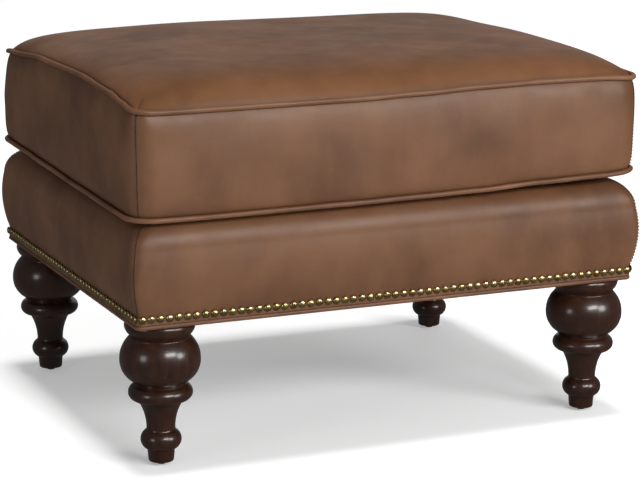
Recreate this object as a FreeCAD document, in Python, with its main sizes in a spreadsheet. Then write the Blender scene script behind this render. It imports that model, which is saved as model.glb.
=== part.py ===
"""Upholstered footstool: a boxed leather cushion with welts, lying loose on a leather-covered
base that has nail trim and four turned wooden legs.

Millimetres.  The origin is on the floor under the middle of the stool, +X runs along the long
side, the front faces -Y and +Z is up.
"""
import FreeCAD, Part
import math
import os
import re
import Sketcher

Vector = FreeCAD.Vector
UP = Vector(0, 0, 1)

# Driving dimensions, by what they belong to
SIZES = {
    # base, measured over the leather at the line of nails
    "base_long": 750.0,
    "base_deep": 600.0,
    "base_corner": 8.0,
    "leather": 1.6,
    "soft_gap": 0.3,
    # hardwood frame
    "rail_set_back": 4.5,
    "rail_thick": 28.0,
    "rail_depth": 105.0,
    "dowel_radius": 5.0,
    "dowel_length": 44.0,
    "dowel_edge": 26.0,
    "block_side": 64.0,
    "block_cut": 30.0,
    "block_height": 75.0,
    # turned legs: heights of foot and ankle above the floor
    "leg_height": 203.0,
    "leg_inset": 48.0,
    "foot_base": 4.5,
    "foot_round": 1.6,
    "foot_radius": 17.4,
    "foot_top_radius": 18.8,
    "ankle_low": 21.5,
    "ankle_radius": 28.0,
    "ankle_mid": 35.5,
    "ankle_top": 48.5,
    # turned legs: depths of the upper turnings below the frame, so that the shin takes up
    # any change of the leg's height
    "shin_radius": 19.6,
    "shin_mid_radius": 21.6,
    "shin_top_radius": 29.5,
    "ring_low_down": 112.0,
    "ring_down": 101.5,
    "ring_radius": 44.0,
    "ring_top_down": 90.0,
    "ring_top_radius": 35.0,
    "fillet_high": 3.0,
    "bulb_neck": 34.0,
    "bulb_down": 54.0,
    "bulb_radius": 55.0,
    "bulb_top_down": 23.0,
    "bulb_top_radius": 41.0,
    "collar_low_radius": 41.5,
    "collar_down": 8.0,
    "collar_radius": 48.2,
    "collar_top_radius": 42.0,
    # leg fixings and glides
    "bolt_radius": 4.0,
    "bolt_in_leg": 42.0,
    "bolt_play": 0.4,
    "nut_barrel_radius": 5.2,
    "nut_barrel_high": 10.0,
    "nut_flange_radius": 10.5,
    "nut_flange_thick": 1.6,
    "glide_radius": 7.6,
    "glide_foot_radius": 5.4,
    "glide_pin_radius": 1.3,
    "glide_pin_length": 15.0,
    # seat support and padding inside the base
    "web_wide": 50.0,
    "web_thick": 1.4,
    "web_pitch": 120.0,
    "hessian": 1.0,
    "hessian_margin": 14.0,
    "dust_cloth": 0.8,
    "dust_margin": 10.0,
    "dust_leg_gap": 1.0,
    # shape of the leather base, heights above the underside of the frame
    "cover_hem": 5.0,
    "cover_straight": 20.0,
    "side_swell": 9.0,
    "side_corner_gain": 7.0,
    "shoulder_start": 106.0,
    "shoulder": 34.0,
    "shoulder_corner": 26.0,
    "deck_height": 143.0,
    "deck_border": 95.0,
    # trim round the bottom edge
    "band_thick": 1.2,
    "band_low": 5.0,
    "band_wide": 11.0,
    "base_welt_radius": 3.2,
    "base_welt_height": 1.5,
    "nail_height": 13.0,
    "nail_radius": 5.5,
    "nail_dome": 3.4,
    "nail_shank": 12.0,
    "nail_shank_radius": 1.2,
    "nail_pitch": 12.7,
    "nail_corner": 6.7,
    # cushion, measured between its welts
    "cushion_over": 6.0,
    "cushion_corner": 36.0,
    "boxing_high": 135.0,
    "boxing_swell": 5.0,
    "cushion_belly": 6.0,
    "crown": 49.0,
    "welt_radius": 3.7,
    "seam_depth": 4.6,
    "core_inset": 30.0,
    "core_high": 120.0,
    "core_round": 18.0,
    # zip in the back boxing
    "zip_length": 520.0,
    "tape_high": 18.0,
    "tape_thick": 1.0,
    "chain_high": 5.0,
    "chain_thick": 1.6,
    "slider_long": 11.0,
    "slider_wall": 1.2,
    "slider_play": 0.35,
    "slider_park": 8.0,
    "pull_long": 26.0,
    "pull_high": 6.0,
    "pull_thick": 1.2,
}

doc = FreeCAD.newDocument("footstool")
sheet = doc.addObject("Spreadsheet::Sheet", "sizes")
for row, (alias, value) in enumerate(SIZES.items(), start=1):
    sheet.set("A%d" % row, alias)
    sheet.set("B%d" % row, str(value))
    sheet.setAlias("B%d" % row, alias)
doc.recompute()


class Read:
    """Gives each size of the sheet by its alias, for the pieces that are shaped in code."""

    def __getattr__(self, alias):
        return float(sheet.get(alias))


s = Read()
nodes = {}


def bind(item, prop, text):
    """Ties a property to an expression in which each size is named by its alias."""
    tied = re.sub(r"[a-z_]+", lambda word: "sizes." + word.group() if word.group() in SIZES
                  else word.group(), text)
    item.setExpression(prop, tied)


def place(item, x, y, z):
    """Ties where an object stands to three expressions."""
    bind(item, "Placement.Base.x", x)
    bind(item, "Placement.Base.y", y)
    bind(item, "Placement.Base.z", z)


def keep(item, name):
    """Gives a sub-part its name, under which it is written out."""
    item.Label = name
    nodes[name] = item
    return item


def box(name, long, deep, high, x, y, z):
    item = doc.addObject("Part::Box", name)
    bind(item, "Length", long)
    bind(item, "Width", deep)
    bind(item, "Height", high)
    place(item, x, y, z)
    return item


def rod(name, radius, high, x, y, z, along_y=False, sides=0):
    """A round rod, or one of that many sides where it is small and hidden."""
    if sides:
        item = doc.addObject("Part::Prism", name)
        item.Polygon = sides
        bind(item, "Circumradius", radius)
    else:
        item = doc.addObject("Part::Cylinder", name)
        bind(item, "Radius", radius)
    bind(item, "Height", high)
    if along_y:
        item.Placement.Rotation = FreeCAD.Rotation(Vector(1, 0, 0), -90)
    place(item, x, y, z)
    return item


def together(name, items):
    item = doc.addObject("Part::MultiFuse", name)
    item.Shapes = items
    return item


def cut(name, base, tool):
    item = doc.addObject("Part::Cut", name)
    item.Base = base
    item.Tool = tool
    return item


def shaped(name, shape):
    """Makes a sub-part of a shape that is worked out in code from the sheet's sizes."""
    item = doc.addObject("Part::Feature", name)
    item.Shape = shape
    item.Placement = FreeCAD.Placement()
    return keep(item, name)


def origin_plane(body, role):
    return next(f for f in body.Origin.OriginFeatures if f.Role == role)


def sketch_on(body, name, role):
    sketch = body.newObject("Sketcher::SketchObject", name)
    sketch.AttachmentSupport = [(origin_plane(body, role), "")]
    sketch.MapMode = "FlatFace"
    return sketch


def draw_closed(sketch, edges):
    """Adds the edges of a closed outline and joins each to the next where their ends meet."""
    for edge in edges:
        sketch.addGeometry(edge, False)
    for i in range(len(edges)):
        j = (i + 1) % len(edges)
        ends = [(sketch.getPoint(i, a).distanceToPoint(sketch.getPoint(j, b)), a, b)
                for a in (1, 2) for b in (1, 2)]
        gap, a, b = min(ends)
        sketch.addConstraint(Sketcher.Constraint("Coincident", i, a, j, b))


def draw_circle(sketch, radius, x, y):
    """Adds a circle whose radius and centre are tied to the sheet."""
    sketch.addGeometry(Part.Circle(Vector(1, 1, 0), UP, 1), False)
    for constraint, text in ((Sketcher.Constraint("Radius", 0, 1.0), radius),
                             (Sketcher.Constraint("DistanceX", -1, 1, 0, 3, 1.0), x),
                             (Sketcher.Constraint("DistanceY", -1, 1, 0, 3, 1.0), y)):
        index = sketch.addConstraint(constraint)
        bind(sketch, "Constraints[%d]" % index, text)


# the four corners: name, sign along X, sign along Y, quarter turns from the front left
CORNERS = (
    ("front_left", -1, -1, 0),
    ("front_right", 1, -1, 1),
    ("back_right", 1, 1, 2),
    ("back_left", -1, 1, 3),
)


def signed(sign, text):
    """An expression with a sign in front."""
    return "%d * (%s)" % (sign, text)


# Frame: four rails, doweled at the corners, with glued corner blocks
FRAME_LONG = "(base_long - 2 * rail_set_back)"
FRAME_DEEP = "(base_deep - 2 * rail_set_back)"
RAIL_MID_X = "base_long / 2 - rail_set_back - rail_thick / 2"
RAIL_JOINT_Y = "base_deep / 2 - rail_set_back - rail_thick"


def make_dowels():
    dowels = []
    for corner, sx, sy, turns in CORNERS:
        for end, height in (("low", "dowel_edge"), ("high", "rail_depth - dowel_edge")):
            dowels.append(rod("dowel_%s_%s" % (corner, end), "dowel_radius", "dowel_length",
                              signed(sx, RAIL_MID_X),
                              signed(sy, RAIL_JOINT_Y) + " - dowel_length / 2",
                              "leg_height + " + height, along_y=True, sides=8))
    return keep(together("dowels", dowels), "dowels")


def ease_ends(name, blank, sy):
    """Rounds a rail's two outer upright edges, round which the leather and the welt turn."""
    doc.recompute()
    outer = max(sy * edge.CenterOfMass.y for edge in blank.Shape.Edges)
    upright = [i for i, edge in enumerate(blank.Shape.Edges, start=1)
               if sy * edge.CenterOfMass.y > outer - s.soft_gap
               and abs(edge.tangentAt(edge.FirstParameter).z) > 0.5]
    ease = doc.addObject("Part::Fillet", name + "_eased")
    ease.Base = blank
    radius = s.base_corner - s.rail_set_back
    ease.Edges = [(i, radius, radius) for i in upright]
    return ease


def make_rails(dowels):
    side_long = "(%s - 2 * rail_thick)" % FRAME_DEEP
    for name, sy in (("front_rail", -1), ("back_rail", 1)):
        blank = box(name + "_blank", FRAME_LONG, "rail_thick", "rail_depth",
                    "-%s / 2" % FRAME_LONG,
                    signed(sy, "base_deep / 2 - rail_set_back - rail_thick / 2") + " - rail_thick / 2",
                    "leg_height")
        keep(cut(name, ease_ends(name, blank, sy), dowels), name)
    for name, sx in (("left_rail", -1), ("right_rail", 1)):
        blank = box(name + "_blank", "rail_thick", side_long, "rail_depth",
                    signed(sx, RAIL_MID_X) + " - rail_thick / 2", "-%s / 2" % side_long, "leg_height")
        keep(cut(name, blank, dowels), name)


BLOCK_HOLE = "leg_inset - rail_set_back - rail_thick"


def make_corner_block(corner, sx, sy, turns):
    """A glue block in the inner corner of the frame, its inner corner sawn off, with a hole for
    the leg's bolt and a wider seat at the top for the tee nut's barrel."""
    name = "corner_block_" + corner
    body = doc.addObject("PartDesign::Body", name)
    body.Placement.Rotation = FreeCAD.Rotation(UP, 90 * turns)
    outline = sketch_on(body, name + "_outline", "XY_Plane")
    side = s.block_side
    short = side - s.block_cut
    points = [Vector(x, y, 0) for x, y in ((0, 0), (side, 0), (side, short), (short, side), (0, side))]
    draw_closed(outline, [Part.LineSegment(a, b) for a, b in zip(points, points[1:] + points[:1])])
    outline.addConstraint(Sketcher.Constraint("Coincident", 0, 1, -1, 1))
    outline.addConstraint(Sketcher.Constraint("Horizontal", 0))
    outline.addConstraint(Sketcher.Constraint("Vertical", 1))
    outline.addConstraint(Sketcher.Constraint("Horizontal", 3))
    outline.addConstraint(Sketcher.Constraint("Vertical", 4))
    outline.addConstraint(Sketcher.Constraint("Equal", 0, 4))
    outline.addConstraint(Sketcher.Constraint("Equal", 1, 3))
    for line, kind, value, text in ((0, "DistanceX", side, "block_side"),
                                    (1, "DistanceY", short, "block_side - block_cut")):
        index = outline.addConstraint(Sketcher.Constraint(kind, line, 1, line, 2, value))
        bind(outline, "Constraints[%d]" % index, text)
    pad = body.newObject("PartDesign::Pad", name + "_pad")
    pad.Profile = outline
    bind(pad, "Length", "block_height")
    hole_plan = sketch_on(body, name + "_hole_plan", "XY_Plane")
    draw_circle(hole_plan, "bolt_radius + bolt_play", BLOCK_HOLE, BLOCK_HOLE)
    hole = body.newObject("PartDesign::Pocket", name + "_hole")
    hole.Profile = hole_plan
    hole.Reversed = True
    bind(hole, "Length", "block_height")
    seat_plan = sketch_on(body, name + "_seat_plan", "XY_Plane")
    bind(seat_plan, "AttachmentOffset.Base.z", "block_height")
    draw_circle(seat_plan, "nut_barrel_radius", BLOCK_HOLE, BLOCK_HOLE)
    seat = body.newObject("PartDesign::Pocket", name + "_seat")
    seat.Profile = seat_plan
    bind(seat, "Length", "nut_barrel_high")
    place(body, signed(sx, "base_long / 2 - rail_set_back - rail_thick"),
          signed(sy, "base_deep / 2 - rail_set_back - rail_thick"), "leg_height")
    return keep(body, name)


def leg_profile():
    """Half of the turned leg's section, from the axis round the outside and back: the foot,
    a bead, the trumpet-shaped shin, a ring, a fillet, the bulb, a fillet and the collar."""
    edges = []

    def to(start, end, through=None):
        a, b = (Vector(x, y, 0) for x, y in (start, end))
        if through is None:
            edges.append(Part.LineSegment(a, b))
        else:
            edges.append(Part.Arc(a, Vector(through[0], through[1], 0), b))
        return end

    def between(start, end, across, up):
        """A point at a share of the way across and of the way up between two points."""
        return (start[0] + across * (end[0] - start[0]), start[1] + up * (end[1] - start[1]))

    top = s.leg_height
    pin_top = s.foot_base + s.glide_pin_length
    foot_edge = (s.foot_radius - s.foot_round, s.foot_base)
    foot_side = (s.foot_radius, s.foot_base + s.foot_round)
    ankle_top = (s.shin_radius, s.ankle_top)
    ring_low = (s.shin_top_radius + s.fillet_high, top - s.ring_low_down)
    shin_top = (s.shin_top_radius, ring_low[1] - s.fillet_high)
    ring = (s.ring_radius, top - s.ring_down)
    ring_top = (s.ring_top_radius, top - s.ring_top_down)
    neck = (s.bulb_neck, ring_top[1] + s.fillet_high)
    bulb = (s.bulb_radius, top - s.bulb_down)
    bulb_top = (s.bulb_top_radius, top - s.bulb_top_down)
    collar_low = (s.collar_low_radius, bulb_top[1] + s.fillet_high)
    collar = (s.collar_radius, top - s.collar_down)
    collar_top = (s.collar_top_radius, top)

    at = to((0.0, pin_top), (s.glide_pin_radius, pin_top))
    at = to(at, (s.glide_pin_radius, s.foot_base))
    at = to(at, foot_edge)
    at = to(at, foot_side, between(foot_edge, foot_side, math.sqrt(0.5), 1 - math.sqrt(0.5)))
    at = to(at, (s.foot_top_radius, s.ankle_low))
    at = to(at, ankle_top, (s.ankle_radius, s.ankle_mid))
    at = to(at, shin_top, (s.shin_mid_radius, (ankle_top[1] + shin_top[1]) / 2))
    at = to(at, ring_low, between(shin_top, ring_low, 0.4, 0.6))
    at = to(at, ring, between(ring_low, ring, 0.8, 0.38))
    at = to(at, ring_top, between(ring, ring_top, 0.32, 0.66))
    at = to(at, (s.ring_top_radius, neck[1]))
    at = to(at, neck)
    at = to(at, bulb, between(neck, bulb, 0.76, 0.41))
    at = to(at, bulb_top, between(bulb, bulb_top, 0.34, 0.62))
    at = to(at, (s.collar_low_radius, bulb_top[1]))
    at = to(at, collar_low)
    at = to(at, collar, between(collar_low, collar, 0.68, 0.45))
    at = to(at, collar_top, between(collar, collar_top, 0.22, 0.62))
    at = to(at, (s.bolt_radius, top))
    at = to(at, (s.bolt_radius, top - s.bolt_in_leg))
    at = to(at, (0.0, top - s.bolt_in_leg))
    to(at, (0.0, pin_top))
    return edges


LEG_X = "base_long / 2 - leg_inset"
LEG_Y = "base_deep / 2 - leg_inset"


def make_leg(corner, sx, sy, turns):
    name = "leg_" + corner
    body = doc.addObject("PartDesign::Body", name)
    section = sketch_on(body, name + "_section", "XZ_Plane")
    draw_closed(section, leg_profile())
    turned = body.newObject("PartDesign::Revolution", name + "_turned")
    turned.Profile = section
    turned.ReferenceAxis = (section, ["V_Axis"])
    turned.Angle = 360.0
    place(body, signed(sx, LEG_X), signed(sy, LEG_Y), "0")
    return keep(body, name)


def make_leg_fixings():
    """A hanger bolt up from each leg through its block, a tee nut on top, a glide under the foot."""
    bolts = []
    nuts = []
    glides = []
    for corner, sx, sy, turns in CORNERS:
        x = signed(sx, LEG_X)
        y = signed(sy, LEG_Y)
        bolts.append(rod("bolt_" + corner, "bolt_radius", "bolt_in_leg + block_height",
                         x, y, "leg_height - bolt_in_leg", sides=8))
        flange = rod("nut_flange_" + corner, "nut_flange_radius", "nut_flange_thick",
                     x, y, "leg_height + block_height")
        barrel = rod("nut_barrel_" + corner, "nut_barrel_radius", "nut_barrel_high",
                     x, y, "leg_height + block_height - nut_barrel_high", sides=8)
        thread = rod("nut_thread_" + corner, "bolt_radius", "nut_barrel_high + nut_flange_thick",
                     x, y, "leg_height + block_height - nut_barrel_high", sides=8)
        blank = together("nut_blank_" + corner, [flange, barrel])
        nuts.append(cut("nut_" + corner, blank, thread))
        dome = doc.addObject("Part::Cone", "glide_dome_" + corner)
        bind(dome, "Radius1", "glide_foot_radius")
        bind(dome, "Radius2", "glide_radius")
        bind(dome, "Height", "foot_base")
        place(dome, x, y, "0")
        pin = rod("glide_pin_" + corner, "glide_pin_radius", "glide_pin_length", x, y, "foot_base",
                  sides=6)
        glides.append(together("glide_" + corner, [dome, pin]))
    keep(together("hanger_bolts", bolts), "hanger_bolts")
    keep(together("tee_nuts", nuts), "tee_nuts")
    keep(together("glides", glides), "glides")


# Shapes worked out in code: rounded outlines, lofts through them and strips
def rounded(long, deep, radius, height):
    """A closed outline of four lines and four quarter arcs round the Z axis."""
    x = long / 2
    y = deep / 2
    diagonal = radius * (1 - math.sqrt(0.5))
    edges = []
    for sx, sy in ((1, 1), (-1, 1), (-1, -1), (1, -1)):
        ends = [Vector(sx * x, sy * (y - radius), height), Vector(sx * (x - radius), sy * y, height)]
        if sx * sy < 0:
            ends.reverse()
        middle = Vector(sx * (x - diagonal), sy * (y - diagonal), height)
        if edges:
            edges.append(Part.LineSegment(last, ends[0]).toShape())
        else:
            first = ends[0]
        edges.append(Part.Arc(ends[0], middle, ends[1]).toShape())
        last = ends[1]
    edges.append(Part.LineSegment(last, first).toShape())
    return Part.Wire(edges)


def loft(outlines):
    """A closed body through outlines, each given as long, deep, corner and height."""
    return Part.makeLoft([rounded(*outline) for outline in outlines], True, True)


def prism(long, deep, radius, low, high):
    return Part.Face(rounded(long, deep, radius, low)).extrude(Vector(0, 0, high - low))


def block(long, deep, low, high):
    """A plain block round the Z axis."""
    return Part.makeBox(long, deep, high - low, Vector(-long / 2, -deep / 2, low))


# sides of the base: share of the way from the straight part to the shoulder, and of the swell
SIDE_STEPS = ((0.0, 0.0), (0.14, 0.4), (0.32, 0.75), (0.52, 0.95), (0.7, 1.0), (0.86, 0.94), (1.0, 0.8))
SHOULDER_TURNS = (15, 30, 45, 60, 75, 90)


def base_body(depth):
    """The padded base as a closed body, drawn in by a depth from the leather's outside: straight
    where the nails hold it, then a gentle swell and a round shoulder up to the deck."""
    low = s.leg_height
    start = s.shoulder_start
    rise = s.deck_height - start
    outlines = []
    for share, swell in SIDE_STEPS:
        outlines.append((s.cover_straight + share * (start - s.cover_straight),
                         swell * s.side_swell - depth, s.base_corner + share * s.side_corner_gain))
    swell_at_start = SIDE_STEPS[-1][1] * s.side_swell
    for degrees in SHOULDER_TURNS:
        turn = math.radians(degrees)
        share = degrees / 90
        outlines.append((start + rise * math.sin(turn) - depth * math.sin(turn),
                         swell_at_start - s.shoulder * (1 - math.cos(turn)) - depth * math.cos(turn),
                         (1 - share) * (s.base_corner + s.side_corner_gain) + share * s.shoulder_corner))
    upper = loft([(s.base_long + 2 * out, s.base_deep + 2 * out, corner - depth / 2, low + height)
                  for height, out, corner in outlines])
    lower = prism(s.base_long - 2 * depth, s.base_deep - 2 * depth, s.base_corner - depth / 2,
                  low + s.cover_hem, low + s.cover_straight)
    return upper.fuse(lower)


def make_base_cover():
    """The leather cover of the base: four sides sewn to a border on the deck, open underneath
    and over the middle of the deck."""
    shell = base_body(0.0).cut(base_body(s.leather))
    top = s.leg_height + s.deck_height
    window = block(s.base_long - 2 * s.deck_border, s.base_deep - 2 * s.deck_border,
                   top - 2 * s.leather, top + s.leather)
    shaped("base_cover", shell.cut(window))
    shaped("deck_cloth", base_body(0.0).common(window).cut(base_body(s.leather)))


def make_padding():
    """The foam deck pad over the frame and the wadding round its sides."""
    filling = base_body(s.leather + s.soft_gap)
    wide = s.base_long + 4 * s.shoulder
    deep = s.base_deep + 4 * s.shoulder
    low = s.leg_height
    pad_low = low + s.rail_depth + s.web_thick + s.hessian
    shaped("deck_pad", filling.common(block(wide, deep, pad_low, low + s.deck_height)))
    frame = block(s.base_long - 2 * s.rail_set_back, s.base_deep - 2 * s.rail_set_back,
                  low - s.leather, pad_low + s.leather)
    sides = filling.common(block(wide, deep, low, pad_low))
    shaped("side_wadding", sides.cut(frame))


def woven_strip(reach, crossings, starts_over):
    """One webbing strip along X, as a closed section to be widened along Y: it goes over and under
    the strips that cross it at the given places."""
    drop = s.web_thick + s.soft_gap
    half = s.web_wide / 2
    slope = 0.25 * s.web_wide
    line = [(-reach, 0.0)]
    for i, place_x in enumerate(crossings):
        if (i % 2 == 0) == starts_over:
            continue
        line.append((place_x - half - slope, 0.0))
        line.append((place_x - half, -drop))
        line.append((place_x + half, -drop))
        line.append((place_x + half + slope, 0.0))
    line.append((reach, 0.0))
    return line


def strip_solid(line, offset, turned):
    """A webbing strip of the given line, at its distance from the middle."""
    top = s.leg_height + s.rail_depth
    low = [Vector(x, offset - s.web_wide / 2, top + z) for x, z in line]
    high = [Vector(p.x, p.y, p.z + s.web_thick) for p in reversed(low)]
    face = Part.Face(Part.makePolygon(low + high + low[:1]))
    solid = face.extrude(Vector(0, s.web_wide, 0))
    if turned:
        solid.rotate(Vector(0, 0, 0), UP, 90)
    return solid


def spread(span):
    """Places of evenly spaced strips across an opening."""
    count = round(span / s.web_pitch)
    return [span * ((i + 0.5) / count - 0.5) for i in range(count)]


def make_webbing():
    """Webbing strips tacked on top of the rails, over and under each other, and the hessian."""
    inner_x = s.base_long / 2 - s.rail_set_back - s.rail_thick
    inner_y = s.base_deep / 2 - s.rail_set_back - s.rail_thick
    held = 0.6 * s.rail_thick
    across = spread(2 * inner_x)
    along = spread(2 * inner_y)
    strips = [strip_solid(woven_strip(inner_x + held, across, i % 2 == 0), y, False)
              for i, y in enumerate(along)]
    shaped("webbing_long", Part.Compound(strips))
    # turned a quarter, a strip at offset y lies at x = -y and runs along Y
    strips = [strip_solid(woven_strip(inner_y + held, along, i % 2 == 1), -x, True)
              for i, x in enumerate(across)]
    shaped("webbing_cross", Part.Compound(strips))
    low = s.leg_height + s.rail_depth + s.web_thick
    inset = 2 * (s.rail_set_back + s.hessian_margin)
    shaped("hessian", block(s.base_long - inset, s.base_deep - inset, low, low + s.hessian))


def make_dust_cover():
    """Black cloth under the frame, cut away round the legs."""
    inset = "2 * (rail_set_back + dust_margin)"
    blank = box("dust_blank", "base_long - %s" % inset, "base_deep - %s" % inset, "dust_cloth",
                "-(base_long - %s) / 2" % inset, "-(base_deep - %s) / 2" % inset,
                "leg_height - dust_cloth")
    notches = []
    for corner, sx, sy, turns in CORNERS:
        low = "leg_height - 2 * dust_cloth"
        notches.append(rod("dust_hole_" + corner, "collar_radius + dust_leg_gap", "3 * dust_cloth",
                           signed(sx, LEG_X), signed(sy, LEG_Y), low))
        notches.append(box("dust_notch_" + corner, "leg_inset", "leg_inset", "3 * dust_cloth",
                           signed(sx, "base_long / 2 - leg_inset / 2") + " - leg_inset / 2",
                           signed(sy, "base_deep / 2 - leg_inset / 2") + " - leg_inset / 2", low))
    keep(cut("dust_cover", blank, together("dust_notches", notches)), "dust_cover")


def ring_tube(long, deep, corner, height, radius):
    """A closed cord of eight flat sides that follows a rounded outline."""
    path = rounded(long, deep, corner, height)
    start = Vector(long / 2, deep / 2 - corner, height)
    section = [start + Vector(p.x, 0, p.y) for p in ring_points(8, radius, 0)]
    return path.makePipeShell([Part.makePolygon(section + section[:1])], True, False, 1)


def make_trim():
    """The band under the nails and the welt below it."""
    low = s.leg_height + s.band_low
    band = prism(s.base_long + 2 * s.band_thick, s.base_deep + 2 * s.band_thick,
                 s.base_corner + s.band_thick, low, low + s.band_wide)
    inside = prism(s.base_long, s.base_deep, s.base_corner, low - s.leather,
                   low + s.band_wide + s.leather)
    shaped("base_band", band.cut(inside))
    out = s.base_welt_radius + s.soft_gap / 2 - s.rail_set_back
    shaped("base_welt", ring_tube(s.base_long + 2 * out, s.base_deep + 2 * out, s.base_corner + out,
                                  s.leg_height + s.base_welt_height, s.base_welt_radius))


def ring_points(count, radius, height):
    return [Vector(radius * math.cos(2 * math.pi * i / count),
                   radius * math.sin(2 * math.pi * i / count), height) for i in range(count)]


def faceted(rings):
    """A closed solid of flat faces through rings of points; a ring of one point is a tip."""
    def face(points):
        return Part.Face(Part.makePolygon(points + points[:1]))

    faces = [face(ring) for ring in (rings[0], rings[-1]) if len(ring) > 1]
    for lower, upper in zip(rings, rings[1:]):
        for i in range(len(lower)):
            above = upper if len(upper) == 1 else [upper[i], upper[i - 1]]
            faces.append(face([lower[i - 1], lower[i]] + above))
    solid = Part.Solid(Part.Shell(faces))
    if solid.Volume < 0:
        solid.reverse()
    return solid


def nail_solid():
    """A domed nail along +Z with few faces: a six-sided head of two steps and a pointed shank."""
    head = faceted([ring_points(6, s.nail_radius, 0), ring_points(6, 0.62 * s.nail_radius, s.nail_dome)])
    shank = faceted([ring_points(3, s.nail_shank_radius, 0), [Vector(0, 0, -s.nail_shank)]])
    return head.fuse(shank).removeSplitter()


def make_nails():
    """A close row of nails on each side, their heads on the band."""
    nail = nail_solid()
    nail.rotate(Vector(0, 0, 0), Vector(1, 0, 0), 90)
    height = s.leg_height + s.nail_height
    for name, span, away, turn in (("nails_front", s.base_long, s.base_deep, 0),
                                   ("nails_right", s.base_deep, s.base_long, 90),
                                   ("nails_back", s.base_long, s.base_deep, 180),
                                   ("nails_left", s.base_deep, s.base_long, 270)):
        run = span - 2 * s.nail_corner
        steps = round(run / s.nail_pitch)
        row = []
        for i in range(steps + 1):
            one = nail.copy()
            one.translate(Vector(run * (i / steps - 0.5), -away / 2 - s.band_thick, height))
            one.rotate(Vector(0, 0, 0), UP, turn)
            row.append(one)
        shaped(name, Part.Compound(row))


# Cushion: three leather panels with welts between them, a fibre wrap and a foam core
def seam_heights():
    low = s.leg_height + s.deck_height + s.soft_gap + s.cushion_belly
    return low, low + s.boxing_high


def cushion_outline(inset, corner, height):
    over = s.cushion_over - inset
    return (s.base_long + 2 * over, s.base_deep + 2 * over, corner, height)


# top panel: height as a share of the crown, and how far in from the seam in millimetres
CROWN_STEPS = ((0.0, 0), (0.1, 1.6), (0.22, 5), (0.36, 10.5), (0.5, 18), (0.64, 29.5), (0.77, 46),
               (0.87, 68), (0.94, 97), (0.985, 140), (1.0, 190))
BELLY_STEPS = ((0.0, 0), (0.45, 3.5), (0.85, 12), (1.0, 30))
# boxing: share of its height, and swell as a share of the full swell; it tucks in to its seams
SWELL_STEPS = ((0.0, -1.0), (0.03, -0.45), (0.07, 0.05), (0.14, 0.42), (0.26, 0.74), (0.4, 0.94),
               (0.5, 1.0), (0.6, 0.94), (0.74, 0.74), (0.86, 0.42), (0.93, 0.05), (0.97, -0.45), (1.0, -1.0))


def cushion_parts(depth):
    """The bottom, the boxing and the top of the cushion as closed bodies, drawn in by a depth."""
    low, high = seam_heights()
    corner = s.cushion_corner - depth
    top = [cushion_outline(s.seam_depth + depth + inset, corner + 0.35 * inset,
                           high + share * (s.crown - depth)) for share, inset in CROWN_STEPS]
    boxing = []
    for height, share in SWELL_STEPS:
        swell = share * (s.boxing_swell if share > 0 else s.seam_depth)
        boxing.append(cushion_outline(depth - swell, corner + swell, low + height * s.boxing_high))
    bottom = [cushion_outline(s.seam_depth + depth + inset, corner + 0.35 * inset,
                              low - share * (s.cushion_belly - depth)) for share, inset in BELLY_STEPS]
    return loft(bottom), loft(boxing), loft(top)


def make_cushion():
    outer = cushion_parts(0.0)
    inner = cushion_parts(s.leather)
    filling = cushion_parts(s.leather + s.soft_gap)
    low, high = seam_heights()
    bottom, boxing, top = (a.cut(b) for a, b in zip(outer, inner))
    slot = zip_box(s.zip_length, s.tape_high, -3 * s.leather, s.leather)
    shaped("cushion_bottom_panel", bottom)
    shaped("cushion_boxing", boxing.cut(slot))
    shaped("cushion_top_panel", top)
    for name, height in (("cushion_bottom_welt", low), ("cushion_top_welt", high)):
        shaped(name, ring_tube(s.base_long + 2 * s.cushion_over, s.base_deep + 2 * s.cushion_over,
                               s.cushion_corner, height, s.welt_radius))
    middle = (low + high) / 2
    core_low = middle - s.core_high / 2
    core = prism(s.base_long + 2 * (s.cushion_over - s.core_inset),
                 s.base_deep + 2 * (s.cushion_over - s.core_inset), s.core_round,
                 core_low, core_low + s.core_high)
    shaped("cushion_core", core)
    whole = filling[0].fuse(filling[1]).fuse(filling[2])
    shaped("cushion_wrap", whole.cut(core))


# Zip: a tape in a slot of the back boxing, a chain of teeth on it, a slider and its pull
def zip_box(long, high, inward, outward, x=0.0):
    """A block along X in the middle of the back boxing, from one depth to another behind the
    leather's outside."""
    low, top = seam_heights()
    face = s.base_deep / 2 + s.cushion_over + s.boxing_swell
    return Part.makeBox(long, outward - inward, high,
                        Vector(x - long / 2, face + inward, (low + top) / 2 - high / 2))


def make_zip():
    inner = -s.leather
    tape_face = inner + s.tape_thick
    chain_face = tape_face + s.chain_thick
    shaped("zip_tape", zip_box(s.zip_length, s.tape_high, inner, tape_face))
    shaped("zip_chain", zip_box(s.zip_length, s.chain_high, tape_face, chain_face))
    at = -s.zip_length / 2 + s.slider_park + s.slider_long / 2
    plate_face = chain_face + s.slider_play + s.slider_wall
    make_slider(at, tape_face, chain_face, plate_face)
    make_pull(at, plate_face)


def make_slider(at, tape_face, chain_face, plate_face):
    """The slider: a plate over the chain with a flange on each side, and a bridge on its back that
    holds the pull's pin."""
    high = s.chain_high + 2 * (s.slider_play + s.slider_wall)
    body = zip_box(s.slider_long, high, tape_face + s.slider_play, plate_face, at)
    way = zip_box(3 * s.slider_long, s.chain_high + 2 * s.slider_play, -s.leather,
                  chain_face + s.slider_play, at)
    eye_face = plate_face + s.pull_thick + 2 * s.slider_play
    bridge = zip_box(s.slider_long - 2 * s.slider_wall, s.pull_high / 3, plate_face,
                     eye_face + s.slider_wall, at)
    eye = zip_box(s.slider_long - 4 * s.slider_wall, s.pull_high, plate_face, eye_face, at)
    shaped("zip_slider", body.cut(way).fuse(bridge.cut(eye)).removeSplitter())


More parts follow.
